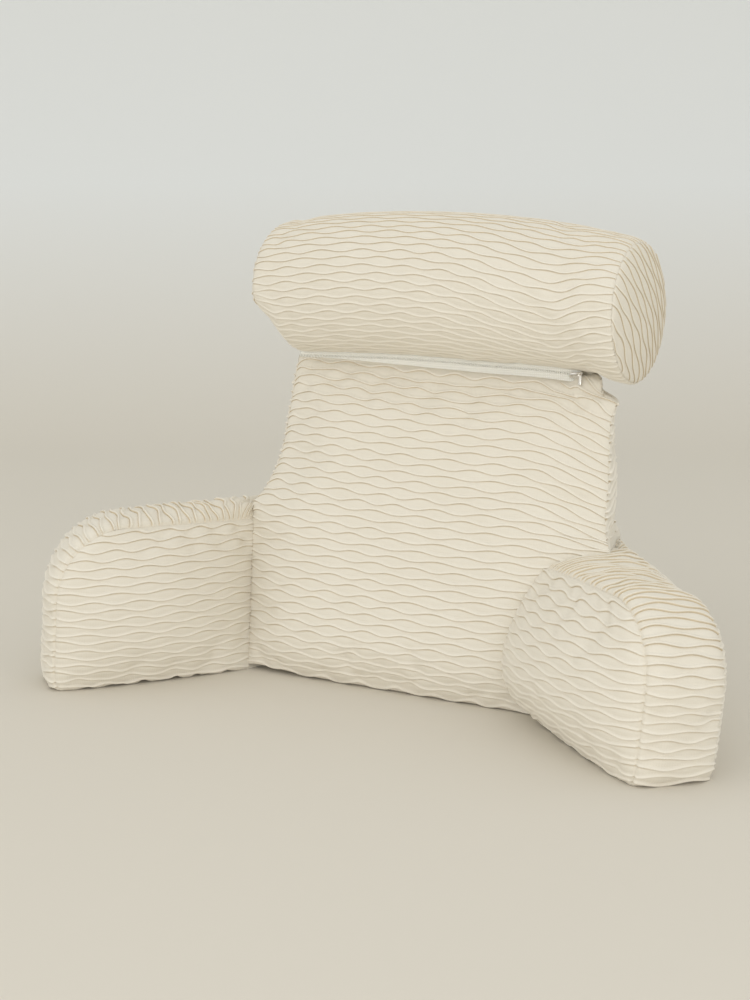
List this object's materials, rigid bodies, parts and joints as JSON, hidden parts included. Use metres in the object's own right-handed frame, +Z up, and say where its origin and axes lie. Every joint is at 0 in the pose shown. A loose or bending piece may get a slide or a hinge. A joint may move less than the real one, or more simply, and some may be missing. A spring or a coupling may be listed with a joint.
{
  "type": "backrest pillow with arms and neck roll",
  "caption": "Backrest pillow for sitting up: a leaning pleated back cushion with splayed arms and a round neck roll zipped along its top edge.",
  "frame": {"origin": "centre of the whole pillow's box, on the surface that it stands on", "axes": "+X to the right seen from the front, +Y to the rear, +Z up; the sitter faces -Y"},
  "size_m": [0.73, 0.3738, 0.4826],
  "materials": {
    "pleated_cloth": "matte ivory polyester cloth with wavy stitched pleats",
    "zip_tape": "white woven polyester tape",
    "zip_coil": "white nylon coil",
    "zip_metal": "nickel-plated die-cast zinc"
  },
  "bodies": {
    "root": {"back_cushion": "pleated_cloth", "arm_left": "pleated_cloth", "arm_right": "pleated_cloth", "neck_roll": "pleated_cloth", "zip_tape_lower": "zip_tape", "zip_tape_upper": "zip_tape", "zip_coil": "zip_coil", "zip_slider": "zip_metal", "zip_pull": "zip_metal"}
  },
  "joints": []
}
